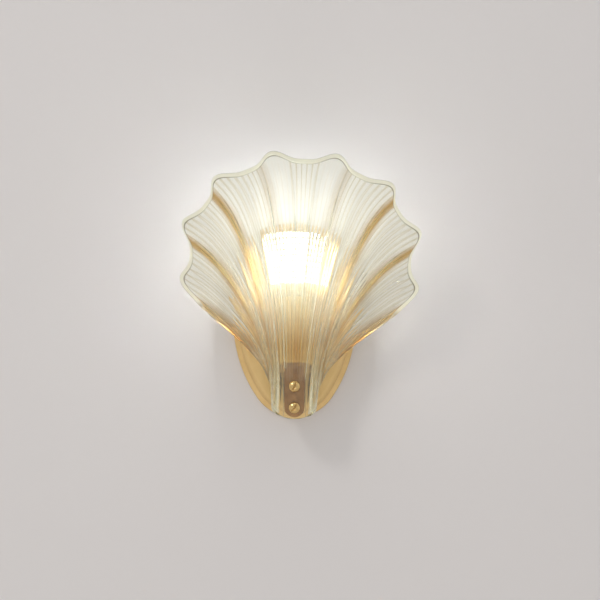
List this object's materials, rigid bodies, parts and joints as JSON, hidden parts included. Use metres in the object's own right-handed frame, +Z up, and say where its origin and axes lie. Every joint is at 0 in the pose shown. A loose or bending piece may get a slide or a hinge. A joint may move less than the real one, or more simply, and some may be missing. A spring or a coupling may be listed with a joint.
{
  "type": "wall light",
  "caption": "Wall light with a fluted, warm-tinted glass shell held by screws on a brass strap, an oval brass backplate and a screw-in lamp.",
  "frame": {"origin": "centre of the wall bar's back face, which is the centre of the oval backplate, on the wall", "axes": "+Z up, +Y into the wall, so the light stands out towards -Y, with +X to the right of someone facing it"},
  "size_m": [0.2476, 0.1334, 0.2726],
  "materials": {
    "satin_brass": "satin, lightly brushed",
    "strap_brass": "darker, as rolled and lacquered",
    "cup_brass": "polished",
    "screw_brass": "polished",
    "nut_brass": "machined",
    "thread_brass": "pressed sheet",
    "zinc_steel": "zinc plated",
    "tinned": "tinned",
    "cap_nickel": "nickel plated",
    "champagne_glass": "pressed glass with a warm tint",
    "pad_rubber": "moulded, matt",
    "fibre": "vulcanised fibre",
    "porcelain": "glazed porcelain",
    "terminal_plastic": "moulded",
    "wire_brown": "smooth insulation",
    "wire_blue": "smooth insulation",
    "wire_earth": "smooth insulation with a stripe",
    "cap_glaze": "black glass",
    "lamp_white": "moulded, diffusing",
    "board_white": "solder-masked board",
    "chip_light": "phosphor over the light chips"
  },
  "bodies": {
    "fixture": {"backplate": "satin_brass", "wall_bar": "zinc_steel", "plate_screws": "screw_brass", "strap": "strap_brass", "strap_screws": "zinc_steel", "strap_nuts": "zinc_steel", "glass_shell": "champagne_glass", "shell_pad": "pad_rubber", "shell_washers": "fibre", "shell_screws": "screw_brass", "shell_nuts": "nut_brass", "holder_cup": "cup_brass", "holder_body": "porcelain", "holder_sleeve": "thread_brass", "holder_tongue": "thread_brass", "holder_posts": "thread_brass", "nipple": "nut_brass", "nipple_nuts": "nut_brass", "cable_bush": "pad_rubber", "terminal_block": "terminal_plastic", "block_screws": "zinc_steel", "block_fixing": "zinc_steel", "wire_live": "wire_brown", "wire_neutral": "wire_blue", "earth_tag": "tinned", "wire_earth": "wire_earth"},
    "cap": {"lamp_cap": "cap_nickel"},
    "lamp": {"lamp_glaze": "cap_glaze", "lamp_eyelet": "tinned", "lamp_collar": "lamp_white", "lamp_column": "board_white", "lamp_chips": "chip_light", "lamp_lid": "lamp_white"}
  },
  "joints": [
    {"name": "lamp_rise", "type": "slide", "parent": "fixture", "child": "cap", "axis": [0, 0, 1], "range_m": [0, 0.02]},
    {"name": "lamp_turn", "type": "hinge", "parent": "cap", "child": "lamp", "pos_m": [0, -0.038, 0], "axis": [0, 0, 1], "range_deg": [0, 1980]}
  ],
  "couplings": [
    {"joint": "lamp_rise", "follows": "lamp_turn", "m_per_rad": 0.00057757}
  ]
}
